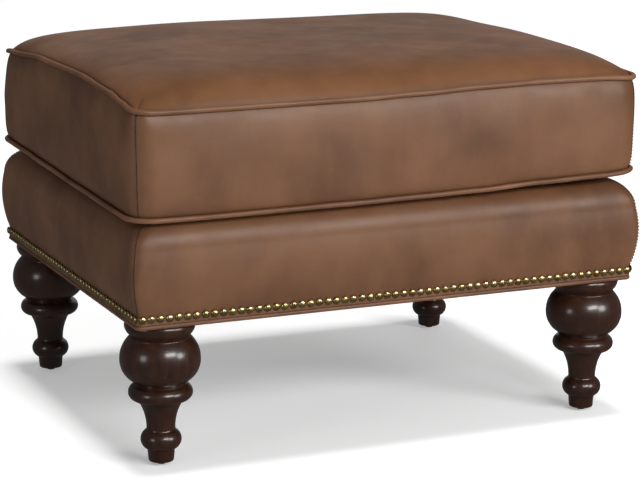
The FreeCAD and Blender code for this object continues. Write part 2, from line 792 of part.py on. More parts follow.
def make_pull(at, plate_face):
    """The pull: a tab with a window round the bridge and a pin across the window's end."""
    near = plate_face + s.slider_play
    far = near + s.pull_thick
    tab = zip_box(s.pull_long, s.pull_high, near, far, at + s.pull_long / 2)
    reach = s.slider_long / 2 - s.slider_wall
    window_long = math.hypot(reach, s.pull_thick / 2 + s.slider_play + s.slider_wall) + s.slider_play
    window = zip_box(window_long, s.pull_high / 3 + 2 * s.slider_play, near - s.pull_thick,
                     far + s.pull_thick, at + window_long / 2)
    low, high = seam_heights()
    face = s.base_deep / 2 + s.cushion_over + s.boxing_swell
    pin = Part.makeCylinder(s.pull_thick / 2, s.pull_high,
                            Vector(at, face + (near + far) / 2, (low + high - s.pull_high) / 2), UP)
    shaped("zip_pull", tab.cut(window).fuse(pin).removeSplitter())
    print("pull pin at x %.3f y %.3f" % (at, face + (near + far) / 2))
    print("slider travel %.1f" % (-2 * at))


def write_out():
    doc.recompute()
    for item in doc.Objects:
        if "Invalid" in item.State or "Error" in item.State:
            raise RuntimeError("%s failed: %s" % (item.Name, item.State))
    os.makedirs("parts", exist_ok=True)
    for name, item in nodes.items():
        shape = item.Shape
        if shape.isNull() or not shape.isValid() or not shape.Solids:
            raise RuntimeError("%s has no valid shape" % name)
        shape.exportStep("parts/%s.step" % name)
        print("%-26s %2d solids %8.1f cm3" % (name, len(shape.Solids), shape.Volume / 1000))


make_rails(make_dowels())
for each in CORNERS:
    make_corner_block(*each)
    make_leg(*each)
make_leg_fixings()
make_webbing()
make_padding()
make_base_cover()
make_dust_cover()
make_trim()
make_nails()
make_cushion()
make_zip()
write_out()
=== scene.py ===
"""Looks of the upholstered footstool: a loose boxed cushion of antiqued brown leather on a
nail-trimmed leather base with four turned legs.

Everything is in metres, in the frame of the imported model: the floor is at z = 0 under the middle of
the stool, and the front faces -Y.
"""
import math
import random

import bmesh
import bpy
from mathutils import Matrix, Vector, noise


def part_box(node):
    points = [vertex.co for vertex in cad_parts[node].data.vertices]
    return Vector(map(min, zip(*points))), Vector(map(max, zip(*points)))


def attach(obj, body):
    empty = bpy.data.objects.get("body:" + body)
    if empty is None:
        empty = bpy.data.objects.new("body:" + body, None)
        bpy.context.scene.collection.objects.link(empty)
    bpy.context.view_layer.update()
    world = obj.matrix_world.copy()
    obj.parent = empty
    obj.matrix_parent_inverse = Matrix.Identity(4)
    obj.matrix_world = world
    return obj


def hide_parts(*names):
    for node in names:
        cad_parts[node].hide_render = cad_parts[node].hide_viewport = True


MM = 0.001
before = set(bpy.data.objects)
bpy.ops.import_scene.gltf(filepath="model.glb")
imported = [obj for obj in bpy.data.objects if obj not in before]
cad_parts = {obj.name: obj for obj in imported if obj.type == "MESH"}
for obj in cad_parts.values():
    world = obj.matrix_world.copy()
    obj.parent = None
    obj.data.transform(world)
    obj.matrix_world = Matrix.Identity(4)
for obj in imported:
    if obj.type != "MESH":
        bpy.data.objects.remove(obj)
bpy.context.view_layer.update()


# Sizes read from the frame
def half_size(node):
    """Half the length and half the depth of a node that is centred on the origin."""
    low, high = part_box(node)
    return (high.x - low.x) / 2, (high.y - low.y) / 2


def middle_height(node):
    low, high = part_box(node)
    return (high.z + low.z) / 2


WELT_RADIUS = (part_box("cushion_top_welt")[1].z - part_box("cushion_top_welt")[0].z) / 2
BASE_WELT_RADIUS = (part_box("base_welt")[1].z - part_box("base_welt")[0].z) / 2
CUSHION_HALF = tuple(size - WELT_RADIUS for size in half_size("cushion_top_welt"))
CUSHION_CORNER = 36 * MM
SEAM_LOW = middle_height("cushion_bottom_welt")
SEAM_HIGH = middle_height("cushion_top_welt")
CROWN_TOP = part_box("cushion_top_panel")[1].z
BELLY_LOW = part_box("cushion_bottom_panel")[0].z
BAND_THICK = 1.2 * MM
BASE_HALF = tuple(size - BAND_THICK for size in half_size("base_band"))
BASE_CORNER = 8 * MM
COVER_LOW, COVER_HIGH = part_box("base_cover")[0].z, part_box("base_cover")[1].z
LEG_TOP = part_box("leg_front_left")[1].z
NAIL_HEIGHT = middle_height("nails_front")


# Small helpers
def srgb(code):
    """A colour written as a hex code, as the linear colour that a shader takes."""
    channels = [int(code[i:i + 2], 16) / 255 for i in (1, 3, 5)]
    return tuple(c / 12.92 if c <= 0.04045 else ((c + 0.055) / 1.055) ** 2.4 for c in channels) + (1.0,)


def smooth(share):
    share = min(1.0, max(0.0, share))
    return share * share * (3 - 2 * share)


def wave(points, place):
    """A smooth line through points of place and value."""
    for (start, low), (end, high) in zip(points, points[1:]):
        if place <= end:
            return low + (high - low) * smooth((place - start) / (end - start))
    return points[-1][1]


def round_the_plan(u, v):
    """Which side a place on the plan looks to and how far along it: 0 to 1 on the front, from left to
    right, then on round the right side, the back and the left side to 4."""
    reach = max(abs(u), abs(v), 1e-9)
    u, v = u / reach, v / reach
    if v <= -1 + 1e-9:
        return (u + 1) / 2
    if u >= 1 - 1e-9:
        return 1 + (v + 1) / 2
    if v >= 1 - 1e-9:
        return 2 + (1 - u) / 2
    return 3 + (1 - v) / 2


def rounded(x, y, half, corner):
    """Moves a point of a square-cornered outline onto one with round corners, and those inside
    it alike."""
    over_x = abs(x) - (half[0] - corner)
    over_y = abs(y) - (half[1] - corner)
    if over_x <= 0 or over_y <= 0:
        return x, y
    scale = max(over_x, over_y) / math.hypot(over_x, over_y)
    return (math.copysign(half[0] - corner + over_x * scale, x),
            math.copysign(half[1] - corner + over_y * scale, y))


def crowd(value, power):
    """Spreads even steps from -1 to 1 so that they stand closer together near both ends."""
    return math.copysign(1 - (1 - abs(value)) ** power, value)


def round_trip(steps, power):
    """Places all round the square plan from -1 to 1, closer together at its corners."""
    for i in range(steps):
        turn = 4 * i / steps
        side = int(turn)
        along = crowd(2 * (turn - side) - 1, power)
        yield ((along, -1), (1, along), (-along, 1), (-1, -along))[side]


def finish_mesh(name, bm, material, smooth_faces=True):
    """Makes an object of a bmesh, with its faces pointing outwards."""
    bmesh.ops.recalc_face_normals(bm, faces=bm.faces)
    mesh = bpy.data.meshes.new(name)
    bm.to_mesh(mesh)
    bm.free()
    for polygon in mesh.polygons:
        polygon.use_smooth = smooth_faces
    mesh.materials.append(material)
    piece = bpy.data.objects.new(name, mesh)
    bpy.context.scene.collection.objects.link(piece)
    return piece


def dress(piece, body, slot_name, *nodes):
    """Lets a piece ride on its body and hides the nodes that it stands for; slot_name is not used."""
    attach(piece, body)
    if nodes:
        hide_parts(*nodes)
    return piece


def apply_modifiers(piece):
    """Turns what a piece's modifiers make into its mesh."""
    graph = bpy.context.evaluated_depsgraph_get()
    mesh = bpy.data.meshes.new_from_object(piece.evaluated_get(graph))
    piece.modifiers.clear()
    piece.data = mesh
    return piece


def subdivided(piece, levels=1):
    divide = piece.modifiers.new("finer", "SUBSURF")
    divide.levels = levels
    divide.render_levels = levels
    return piece


def paint(piece, name, value_at):
    """Stores one number per vertex, which a material reads by its name."""
    mesh = piece.data
    stored = mesh.attributes.new(name, "FLOAT", "POINT")
    stored.data.foreach_set("value", [value_at(vertex.co) for vertex in mesh.vertices])


def paint_leather(piece, hide, shade_at=lambda co: 0.0):
    """Sets where a piece lies in the clouds of the hide, and how much painted shade its points get in the
    tucks beside welts and seams.
    """
    paint(piece, "tuck_shade", shade_at)
    paint(piece, "hide", lambda co: hide)


def box_grid(steps_x, steps_y, steps_z):
    """A box from -1 to 1 whose faces are grids."""
    bm = bmesh.new()
    bmesh.ops.create_cube(bm, size=2)
    for axis, steps in enumerate((steps_x, steps_y, steps_z)):
        along = [edge for edge in bm.edges
                 if abs(edge.verts[0].co[axis] - edge.verts[1].co[axis]) > 1]
        bmesh.ops.subdivide_edges(bm, edges=along, cuts=steps - 1, use_grid_fill=True)
    return bm


def turned(profile, around=64):
    """A bmesh spun round the Z axis from an outline of radius and height, closed at both ends."""
    bm = bmesh.new()
    line = [bm.verts.new((radius, 0, height)) for radius, height in profile]
    edges = [bm.edges.new(pair) for pair in zip(line, line[1:])]
    bmesh.ops.spin(bm, geom=line + edges, cent=(0, 0, 0), axis=(0, 0, 1), angle=2 * math.pi,
                   steps=around, use_merge=True)
    bmesh.ops.remove_doubles(bm, verts=bm.verts, dist=1e-6)
    return bm


def arc(start, through, end, steps):
    """Points on the round stretch from start to end, without its first point."""
    (ax, ay), (bx, by), (cx, cy) = start, through, end
    d = 2 * (ax * (by - cy) + bx * (cy - ay) + cx * (ay - by))
    a2, b2, c2 = ax * ax + ay * ay, bx * bx + by * by, cx * cx + cy * cy
    middle_x = (a2 * (by - cy) + b2 * (cy - ay) + c2 * (ay - by)) / d
    middle_y = (a2 * (cx - bx) + b2 * (ax - cx) + c2 * (bx - ax)) / d
    radius = math.hypot(ax - middle_x, ay - middle_y)
    first = math.atan2(ay - middle_y, ax - middle_x)
    turn = [(math.atan2(y - middle_y, x - middle_x) - first) % (2 * math.pi)
            for x, y in (through, end)]
    sweep = turn[1] if turn[0] < turn[1] else turn[1] - 2 * math.pi
    return [(middle_x + radius * math.cos(first + sweep * i / steps),
             middle_y + radius * math.sin(first + sweep * i / steps)) for i in range(1, steps + 1)]


def tube_along(name, points, radius, material, closed=True, wobble=0.0, seed=1):
    """A round cord of leather along a smooth line through points, with a hand-sewn unevenness."""
    chance = random.Random(seed)
    curve = bpy.data.curves.new(name, "CURVE")
    curve.dimensions = "3D"
    curve.bevel_depth = radius
    curve.bevel_resolution = 4
    curve.use_fill_caps = not closed
    line = curve.splines.new("POLY")
    line.points.add(len(points) - 1)
    for point, place in zip(line.points, points):
        point.co = (*place, 1)
        point.radius = 1 + wobble * chance.uniform(-1, 1)
    line.use_cyclic_u = closed
    drawn = bpy.data.objects.new(name + "_line", curve)
    bpy.context.scene.collection.objects.link(drawn)
    graph = bpy.context.evaluated_depsgraph_get()
    mesh = bpy.data.meshes.new_from_object(drawn.evaluated_get(graph))
    bpy.data.objects.remove(drawn)
    bm = bmesh.new()
    bm.from_mesh(mesh)
    bmesh.ops.remove_doubles(bm, verts=bm.verts, dist=1e-6)
    return finish_mesh(name, bm, material)


# Materials
def node(tree, kind, inputs=(), **settings):
    """Adds a shader node; each input is a value or another node's output."""
    made = tree.nodes.new(kind)
    for key, value in settings.items():
        setattr(made, key, value)
    for key, value in dict(inputs).items():
        if isinstance(value, bpy.types.NodeSocket):
            tree.links.new(value, made.inputs[key])
        else:
            made.inputs[key].default_value = value
    return made


def new_material(name):
    material = bpy.data.materials.new(name)
    material.use_nodes = True
    tree = material.node_tree
    tree.nodes.clear()
    surface = tree.nodes.new("ShaderNodeBsdfPrincipled")
    output = tree.nodes.new("ShaderNodeOutputMaterial")
    tree.links.new(surface.outputs["BSDF"], output.inputs["Surface"])
    return material, tree, surface


def noise_at(tree, place, size, detail=3.0, roughness=0.5):
    """Clouds whose blotches are about that size in metres."""
    return node(tree, "ShaderNodeTexNoise", {"Vector": place, "Scale": 1 / size, "Detail": detail,
                                             "Roughness": roughness}).outputs["Fac"]


def ramp(tree, share, stops):
    """Colours by share, from places and hex codes."""
    made = node(tree, "ShaderNodeValToRGB", {"Fac": share})
    points = made.color_ramp.elements
    while len(points) < len(stops):
        points.new(0.5)
    for point, (place, code) in zip(points, stops):
        point.position = place
        point.color = srgb(code) if isinstance(code, str) else (code, code, code, 1)
    return made.outputs["Color"]


def maths(tree, operation, first, second):
    return node(tree, "ShaderNodeMath", {0: first, 1: second}, operation=operation).outputs[0]


def mix_colour(tree, share, first, second):
    """The first colour at share 0 and the second at share 1; each is a value or an output."""
    made = node(tree, "ShaderNodeMix", {"Factor": share}, data_type="RGBA")
    for index, value in ((6, first), (7, second)):
        if isinstance(value, bpy.types.NodeSocket):
            tree.links.new(value, made.inputs[index])
        else:
            made.inputs[index].default_value = value
    return made.outputs[2]


def attribute(tree, name):
    return node(tree, "ShaderNodeAttribute", attribute_name=name).outputs["Fac"]


def bump(tree, height, strength, distance, under=None):
    inputs = {"Height": height, "Strength": strength, "Distance": distance}
    if under is not None:
        inputs["Normal"] = under
    return node(tree, "ShaderNodeBump", inputs).outputs["Normal"]


def leather(name, dark, middle, light):
    """Antiqued pull-up cowhide, drum dyed and waxed: cloudy tones where the wax has moved, a low
    broad sheen and a fine closed grain, with painted shade darkening the tucks beside the welts and the
    corner seams. Its pores are drawn at 1.6 mm, about twice the real size, so that they show."""
    material, tree, surface = new_material(name)
    place = node(tree, "ShaderNodeTexCoord").outputs["Object"]
    hide = attribute(tree, "hide")
    shift = node(tree, "ShaderNodeCombineXYZ", {0: hide, 1: hide, 2: hide}).outputs[0]
    place = node(tree, "ShaderNodeVectorMath", {0: place, 1: shift}, operation="ADD").outputs[0]
    clouds = noise_at(tree, place, 0.13, 3.0, 0.5)
    tone = ramp(tree, clouds, ((0.34, dark), (0.5, middle), (0.68, light)))
    streaks = node(tree, "ShaderNodeVectorMath", {0: place, 1: (1.6, 1.6, 0.7)}, operation="MULTIPLY")
    patches = noise_at(tree, streaks.outputs[0], 0.045, 4.0, 0.6)
    tone = mix_colour(tree, ramp(tree, patches, ((0.45, 0.0), (0.7, 0.45))), tone, srgb(WAX_TONE))
    marks = noise_at(tree, place, 0.014, 4.0, 0.65)
    tone = mix_colour(tree, ramp(tree, marks, ((0.52, 0.0), (0.75, 0.3))), tone, srgb(dark))
    # painted shade: the tucks beside the welts and the corner seams are darkened toward a near-black brown
    tone = mix_colour(tree, maths(tree, "MULTIPLY", attribute(tree, "tuck_shade"), 0.8), tone, srgb(SEAM_SHADE_TONE))
    tree.links.new(tone, surface.inputs["Base Color"])
    pores = node(tree, "ShaderNodeTexVoronoi", {"Vector": place, "Scale": 1 / (1.6 * MM)},
                 feature="DISTANCE_TO_EDGE").outputs["Distance"]
    grain = bump(tree, pores, 0.10, 0.12 * MM)
    folds = bump(tree, noise_at(tree, place, 6 * MM, 3.0, 0.6), 0.22, 0.5 * MM, grain)
    tree.links.new(folds, surface.inputs["Normal"])
    rough = ramp(tree, noise_at(tree, place, 0.04, 4.0, 0.6), ((0.3, 0.42), (0.7, 0.54)))
    tree.links.new(rough, surface.inputs["Roughness"])
    surface.inputs["IOR"].default_value = 1.5
    surface.inputs["Specular IOR Level"].default_value = 0.45
    return material


def lacquered_wood():
    """Turned hardwood, stained espresso and sprayed with satin lacquer: fine dark grain along the
    leg under a clear skin that carries the highlights."""
    material, tree, surface = new_material("espresso_stained_birch")
    place = node(tree, "ShaderNodeTexCoord").outputs["Object"]
    stretched = node(tree, "ShaderNodeVectorMath", {0: place, 1: (1.0, 1.0, 0.12)},
                     operation="MULTIPLY").outputs[0]
    grain = noise_at(tree, stretched, 5 * MM, 5.0, 0.6)
    tone = ramp(tree, grain, ((0.3, "#24110a"), (0.5, "#30180c"), (0.72, "#3e2112")))
    stain = noise_at(tree, place, 0.05, 2.0)
    tone = mix_colour(tree, ramp(tree, stain, ((0.4, 0.0), (0.7, 0.5))), tone, srgb("#24120a"))
    tree.links.new(tone, surface.inputs["Base Color"])
    tree.links.new(bump(tree, grain, 0.04, 0.1 * MM), surface.inputs["Normal"])
    surface.inputs["Roughness"].default_value = 0.36
    surface.inputs["Specular IOR Level"].default_value = 0.35
    surface.inputs["Coat Weight"].default_value = 0.8
    surface.inputs["Coat Roughness"].default_value = 0.2
    return material


def antique_brass():
    """Plated steel nail head, brushed over black patina: yellow on the dome, dark at its rim."""
    material, tree, surface = new_material("antique_brass_plate")
    place = node(tree, "ShaderNodeTexCoord").outputs["Object"]
    rim = attribute(tree, "rim")
    tone = ramp(tree, noise_at(tree, place, 7 * MM, 2.0), ((0.35, "#b39a63"), (0.62, "#dcc78f")))
    tone = mix_colour(tree, rim, tone, srgb("#33240f"))
    tree.links.new(tone, surface.inputs["Base Color"])
    surface.inputs["Metallic"].default_value = 1.0
    rough = ramp(tree, noise_at(tree, place, 2 * MM, 2.0), ((0.3, 0.24), (0.7, 0.4)))
    tree.links.new(rough, surface.inputs["Roughness"])
    return material


def plain(name, low, high, size, rough, metallic=0.0, bump_depth=0.0, stretch=(1, 1, 1)):
    """A quiet material of two close tones in clouds of a real size."""
    material, tree, surface = new_material(name)
    place = node(tree, "ShaderNodeTexCoord").outputs["Object"]
    place = node(tree, "ShaderNodeVectorMath", {0: place, 1: stretch}, operation="MULTIPLY").outputs[0]
    share = noise_at(tree, place, size, 4.0)
    tree.links.new(ramp(tree, share, ((0.35, low), (0.65, high))), surface.inputs["Base Color"])
    surface.inputs["Roughness"].default_value = rough
    surface.inputs["Metallic"].default_value = metallic
    if bump_depth:
        tree.links.new(bump(tree, share, 0.4, bump_depth), surface.inputs["Normal"])
    return material


def woven(name, warp_tone, gap_tone, thread, rough=0.9):
    """Plain weave: threads over and under each other, at a real thread spacing."""
    material, tree, surface = new_material(name)
    place = node(tree, "ShaderNodeTexCoord").outputs["Object"]
    split = node(tree, "ShaderNodeSeparateXYZ", {0: place}).outputs
    turns = math.pi / thread
    across = maths(tree, "SINE", maths(tree, "MULTIPLY", split[0], turns), 0)
    along = maths(tree, "SINE", maths(tree, "MULTIPLY", split[1], turns), 0)
    weave = maths(tree, "ABSOLUTE", maths(tree, "MULTIPLY", across, along), 0)
    tree.links.new(ramp(tree, weave, ((0.0, gap_tone), (0.55, warp_tone))), surface.inputs["Base Color"])
    tree.links.new(bump(tree, weave, 0.5, 0.4 * thread), surface.inputs["Normal"])
    surface.inputs["Roughness"].default_value = rough
    return material


WAX_TONE = "#6f4c2e"
# colour of the painted shade in the tucks beside the welts and in the corner seams
SEAM_SHADE_TONE = "#1c0d06"
LEATHER = leather("antiqued_cowhide", "#573823", "#63412a", "#6e4a31")
WELT_LEATHER = leather("antiqued_cowhide_welt", "#583825", "#67442e", "#755038")
WOOD = lacquered_wood()
BRASS = antique_brass()
THREAD = plain("waxed_nylon_thread", "#1c0f08", "#2c1a10", 2 * MM, 0.6)
ZIP_BRASS = plain("tumbled_zip_brass", "#8a6c3c", "#b08f55", 3 * MM, 0.34, metallic=1.0)
ZIP_TAPE = woven("polyester_zip_tape", "#3a281c", "#20150e", 0.9 * MM)
DECK_CLOTH = woven("cotton_deck_cloth", "#5f4a3a", "#38291e", 1.2 * MM)
DUST_CLOTH = woven("black_cambric", "#1d1b1a", "#0c0b0b", 1.1 * MM)
JUTE = woven("jute_webbing", "#a58a5e", "#5d4a2e", 2.4 * MM)
BEECH = plain("sawn_beech", "#b88f62", "#caa478", 6 * MM, 0.6, bump_depth=0.1 * MM, stretch=(0.2, 1, 1))
ZINC = plain("zinc_plated_steel", "#9ea0a2", "#c3c5c6", 3 * MM, 0.38, metallic=1.0)
GLIDE = plain("moulded_nylon_glide", "#1b1512", "#2a221d", 4 * MM, 0.45)
FOAM = plain("polyurethane_foam", "#d8cda2", "#e6dcb4", 1.5 * MM, 0.95, bump_depth=0.4 * MM)
WADDING = plain("polyester_wadding", "#e4e2dc", "#f2f1ec", 4 * MM, 0.95, bump_depth=1.0 * MM)

NODE_MATERIALS = {"rail": BEECH, "corner_block": BEECH, "dowels": BEECH, "webbing": JUTE, "hessian": JUTE,
                  "hanger_bolts": ZINC, "tee_nuts": ZINC, "glides": GLIDE, "cushion_core": FOAM,
                  "zip_slider": ZIP_BRASS, "zip_pull": ZIP_BRASS, "base_band": LEATHER,
                  "base_cover": LEATHER, "cushion_top_panel": LEATHER, "cushion_boxing": LEATHER,
                  "cushion_bottom_panel": LEATHER, "welt": WELT_LEATHER, "leg_": WOOD, "nails_": BRASS,
                  "side_wadding": WADDING, "cushion_wrap": WADDING, "deck_pad": FOAM,
                  "deck_cloth": DECK_CLOTH, "dust_cover": DUST_CLOTH, "zip_tape": ZIP_TAPE,
                  "zip_chain": ZIP_BRASS}


def dress_cad_nodes():
    """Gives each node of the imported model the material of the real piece."""
    for name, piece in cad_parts.items():
        material = next(material for words, material in NODE_MATERIALS.items() if words in name)
        piece.data.materials.clear()
        piece.data.materials.append(material)


# Camera, light and floor
CAMERA_PLACE = Vector((-1.345, -3.105, 1.0005))
CAMERA_YAW = math.radians(23.70)
CAMERA_PITCH = math.radians(-12.84)
CAMERA_ROLL = math.radians(0.24)
FOCAL_PIXELS = 2328.6
PICTURE_WIDTH = 640
SENSOR = 36.0


def make_camera():
    data = bpy.data.cameras.new("camera")
    data.sensor_width = SENSOR
    data.lens = FOCAL_PIXELS / PICTURE_WIDTH * SENSOR
    data.clip_end = 50
    camera = bpy.data.objects.new("camera", data)
    turn = (Matrix.Rotation(-CAMERA_YAW, 4, "Z") @ Matrix.Rotation(math.pi / 2 + CAMERA_PITCH, 4, "X")
            @ Matrix.Rotation(CAMERA_ROLL, 4, "Z"))
    camera.matrix_world = Matrix.Translation(CAMERA_PLACE) @ turn
    bpy.context.scene.collection.objects.link(camera)
    bpy.context.scene.camera = camera


def softbox(name, place, target, wide, high, power):
    """A white panel of light that faces its target and that the camera doesn't see."""
    data = bpy.data.lights.new(name, "AREA")
    data.shape = "RECTANGLE"
    data.size = wide
    data.size_y = high
    data.energy = power
    lamp = bpy.data.objects.new(name, data)
    aim = (Vector(target) - Vector(place)).to_track_quat("-Z", "Y").to_matrix().to_4x4()
    lamp.matrix_world = Matrix.Translation(place) @ aim
    lamp.visible_camera = False
    bpy.context.scene.collection.objects.link(lamp)
    return lamp


def seen_directly(tree):
    """1 for camera, glossy and transmission rays, 0 for the rays that light the object."""
    rays = node(tree, "ShaderNodeLightPath").outputs
    seen = maths(tree, "MAXIMUM", rays["Is Camera Ray"], rays["Is Glossy Ray"])
    return maths(tree, "MAXIMUM", seen, rays["Is Transmission Ray"])


# strength of the room where it lights the stool, and where it mirrors in the stool
ROOM_LIGHT = 0.20
ROOM_GLOSS = 0.08
# strength and width in degrees of the light that throws the stool's shadow on the floor
OVERHEAD_LIGHT = 2.1
OVERHEAD_SPREAD = 11.0
FLOOR_GLOW = 0.31


def make_studio():
    world = bpy.data.worlds.new("studio")
    bpy.context.scene.world = world
    world.use_nodes = True
    tree = world.node_tree
    tree.nodes.clear()
    rays = node(tree, "ShaderNodeLightPath").outputs
    room = node(tree, "ShaderNodeMapRange",
                {"Value": rays["Is Glossy Ray"], "To Min": ROOM_LIGHT, "To Max": ROOM_GLOSS})
    strength = node(tree, "ShaderNodeMapRange",
                    {"Value": rays["Is Camera Ray"], "To Min": room.outputs[0], "To Max": 1.0})
    light = node(tree, "ShaderNodeBackground", {"Color": (1, 1, 1, 1), "Strength": strength.outputs[0]})
    output = node(tree, "ShaderNodeOutputWorld")
    tree.links.new(light.outputs[0], output.inputs["Surface"])
    key_panel = ((1.6, -2.35, 1.15), (0.1, -0.2, 0.3), 0.9, 0.75)
    softbox("key_softbox", *key_panel, 24)
    softbox("key_fill", *key_panel, 19).visible_glossy = False
    softbox("front_softbox", (0.35, -2.9, 1.75), (0.0, -0.2, 0.4), 1.5, 0.6, 46)
    softbox("left_softbox", (-2.5, -1.1, 0.75), (-0.2, 0, 0.25), 0.6, 0.7, 6)
    softbox("back_softbox", (1.4, 3.2, 1.3), (0, 0, 0.5), 3.4, 2.6, 9)
    sun = bpy.data.lights.new("overhead", "SUN")
    sun.energy = OVERHEAD_LIGHT
    sun.angle = math.radians(OVERHEAD_SPREAD)
    lamp = bpy.data.objects.new("overhead", sun)
    lamp.visible_glossy = False
    bpy.context.scene.collection.objects.link(lamp)


def make_floor():
    bm = bmesh.new()
    bmesh.ops.create_grid(bm, x_segments=1, y_segments=1, size=12)
    material, tree, surface = new_material("white_studio_floor")
    surface.inputs["Base Color"].default_value = srgb("#e6e6e6")
    surface.inputs["Roughness"].default_value = 0.9
    surface.inputs["Specular IOR Level"].default_value = 0.1
    surface.inputs["Emission Color"].default_value = (1, 1, 1, 1)
    glow = maths(tree, "MULTIPLY", seen_directly(tree), FLOOR_GLOW)
    tree.links.new(glow, surface.inputs["Emission Strength"])
    floor = finish_mesh("studio_floor", bm, material)
    floor.visible_glossy = False


# Cushion
# places round the plan, and how far each seam rises there over its straight line
TOP_RISE = [(place, rise * MM) for place, rise in (
    (0.0, 7), (0.05, 4.5), (0.14, 4.5), (0.26, 4.8), (0.42, 5), (0.54, 7), (0.67, 10.4), (0.8, 12),
    (0.9, 11.5), (1.0, 8), (1.25, 12), (1.5, 13), (1.75, 10), (2.0, 6), (2.5, 10), (3.0, 7),
    (3.13, 15), (3.37, 24), (3.65, 26), (3.85, 20), (3.94, 13.5), (4.0, 7))]
BOTTOM_RISE = [(place, rise * MM) for place, rise in (
    (0.0, -3), (0.12, -3.5), (0.41, -2), (0.54, -0.5), (0.66, 1), (0.79, 5), (0.92, 7), (1.0, 10),
    (1.25, 6), (1.5, 4), (1.75, 6), (2.0, 10), (2.5, 8), (3.0, 10), (3.2, 8), (3.36, 5),
    (3.65, 1), (3.85, -1.5), (4.0, -3))]
TUCK = 4.6 * MM
SWELL = 5.0 * MM
CROWN_REACH = 28.5 * MM
CROWN_POWER = 0.8
BELLY_REACH = 26 * MM
SEAM_VALLEY = 0.9 * MM
CORNER_TAUT = 0.7
CORNER_REACH = 60 * MM
PULL_REACH = 30 * MM
PULL_WIDE = 17 * MM
PULL_LONG = 70 * MM
PULL_DEPTH = 1.3 * MM
# widths of the painted shade beside the welts and along the corner seams
WELT_SHADE = 3.5 * MM
SEAM_SHADE = 0.9 * MM
PADDING_GRAIN = 0.10
PADDING_DEPTH = 2.2 * MM
CROWN_GRAIN = 0.21
CROWN_DEPTH = 3.0 * MM
CUSHION_STEPS = (104, 84, 22)
TOP_SMOOTHING = 14
# plan radius of each corner at the top seam: front left, front right, back right, back left
TOP_CORNERS = [radius * MM for radius in (26, 36, 42, 58)]


def corner_radius(u, v, share):
    """The plan radius of the cushion's corner at a share of the way up its boxing."""
    if share <= 0.5:
        return CUSHION_CORNER
    top = TOP_CORNERS[(0 if u < 0 else 1) if v < 0 else (3 if u < 0 else 2)]
    return CUSHION_CORNER + (top - CUSHION_CORNER) * (share - 0.5) * 2


def dents(place, size, depth, seed):
    """Soft unevenness of the stuffing."""
    return depth * noise.noise(place / size + Vector((seed, 2 * seed, 3 * seed)))


def pulls(x, y, away):
    """Short creases that run from the top seam down the boxing, strongest near the corners."""
    to_corner = min(abs(abs(x) - CUSHION_HALF[0]) + abs(abs(y) - CUSHION_HALF[1]), 0.2)
    strength = 0.35 + math.exp(-(to_corner / 0.09) ** 2)
    slant = 0.35 * away * (1 if x < 0 else -1)
    ripple = noise.noise(Vector(((x + slant) / PULL_WIDE, (y + slant) / PULL_WIDE, away / PULL_LONG)))
    return strength * PULL_DEPTH * ripple * math.exp(-away / PULL_REACH)


def cushion_point(u, v, w):
    """Where a point of the box from -1 to 1 lies on the leather cushion."""
    share = (w + 1) / 2
    near_seam = 1 - abs(w)
    to_corner = (1 - min(abs(u), abs(v))) * CUSHION_HALF[1]
    taut = 1 - CORNER_TAUT * math.exp(-(to_corner / CORNER_REACH) ** 2)
    out = SWELL * taut * (1 - (1 - near_seam) ** 2) - TUCK * math.exp(-9.2 * near_seam)
    half = (CUSHION_HALF[0] + out, CUSHION_HALF[1] + out)
    x, y = rounded(u * half[0], v * half[1], half, corner_radius(u, v, share) + out)
    place = round_the_plan(u, v)
    low = SEAM_LOW + wave(BOTTOM_RISE, place)
    high = SEAM_HIGH + wave(TOP_RISE, place)
    z = low + share * (high - low)
    in_x = (1 - abs(u)) * CUSHION_HALF[0]
    in_y = (1 - abs(v)) * CUSHION_HALF[1]
    if abs(w) > 0.9999 and min(in_x, in_y) > 0:
        reach = CROWN_REACH if w > 0 else BELLY_REACH
        full = math.prod(1 - math.exp(-(inset / reach) ** CROWN_POWER) for inset in (in_x, in_y))
        if w > 0:
            z += full * (CROWN_TOP - z) + full * dents(Vector((x, y, 0)), CROWN_GRAIN, CROWN_DEPTH, 3)
        else:
            z += full * (BELLY_LOW - z)
    elif abs(w) < 0.9999:
        on_x, on_y = abs(u) > 0.999, abs(v) > 0.999
        push = smooth(3 * near_seam) * dents(Vector((x, y, z)), PADDING_GRAIN, PADDING_DEPTH, 7)
        push += smooth(8 * near_seam) * pulls(x, y, high - z)
        if y > 0 and on_y:
            push = 0.0
        if on_x and on_y:
            push = -SEAM_VALLEY * smooth(6 * near_seam)
        x += math.copysign(push, u) if on_x else 0
        y += math.copysign(push, v) if on_y else 0
    return Vector((x, y, z))


def cushion_tuck_shade(co):
    """How much painted shade a point gets: 1 in the tucks beside a welt or in a corner seam, falling to 0 a
    few millimetres away.
    """
    u = min(1, max(-1, co.x / CUSHION_HALF[0]))
    v = min(1, max(-1, co.y / CUSHION_HALF[1]))
    place = round_the_plan(u, v)
    outside = max(abs(co.x) - CUSHION_HALF[0], abs(co.y) - CUSHION_HALF[1])
    inside = max(0.0, -outside - TUCK)
    gap = min(abs(co.z - SEAM_LOW - wave(BOTTOM_RISE, place)), abs(co.z - SEAM_HIGH - wave(TOP_RISE, place)))
    beside_welt = math.exp(-(math.hypot(gap, inside) / WELT_SHADE) ** 2)
    across = abs(abs(co.x) - CUSHION_HALF[0] - abs(co.y) + CUSHION_HALF[1]) / math.sqrt(2)
    on_boxing = 1 if SEAM_LOW < co.z < SEAM_HIGH + 20 * MM and outside > -25 * MM else 0
    in_seam = 0.6 * on_boxing * math.exp(-(across / SEAM_SHADE) ** 2)
    return max(beside_welt, in_seam)


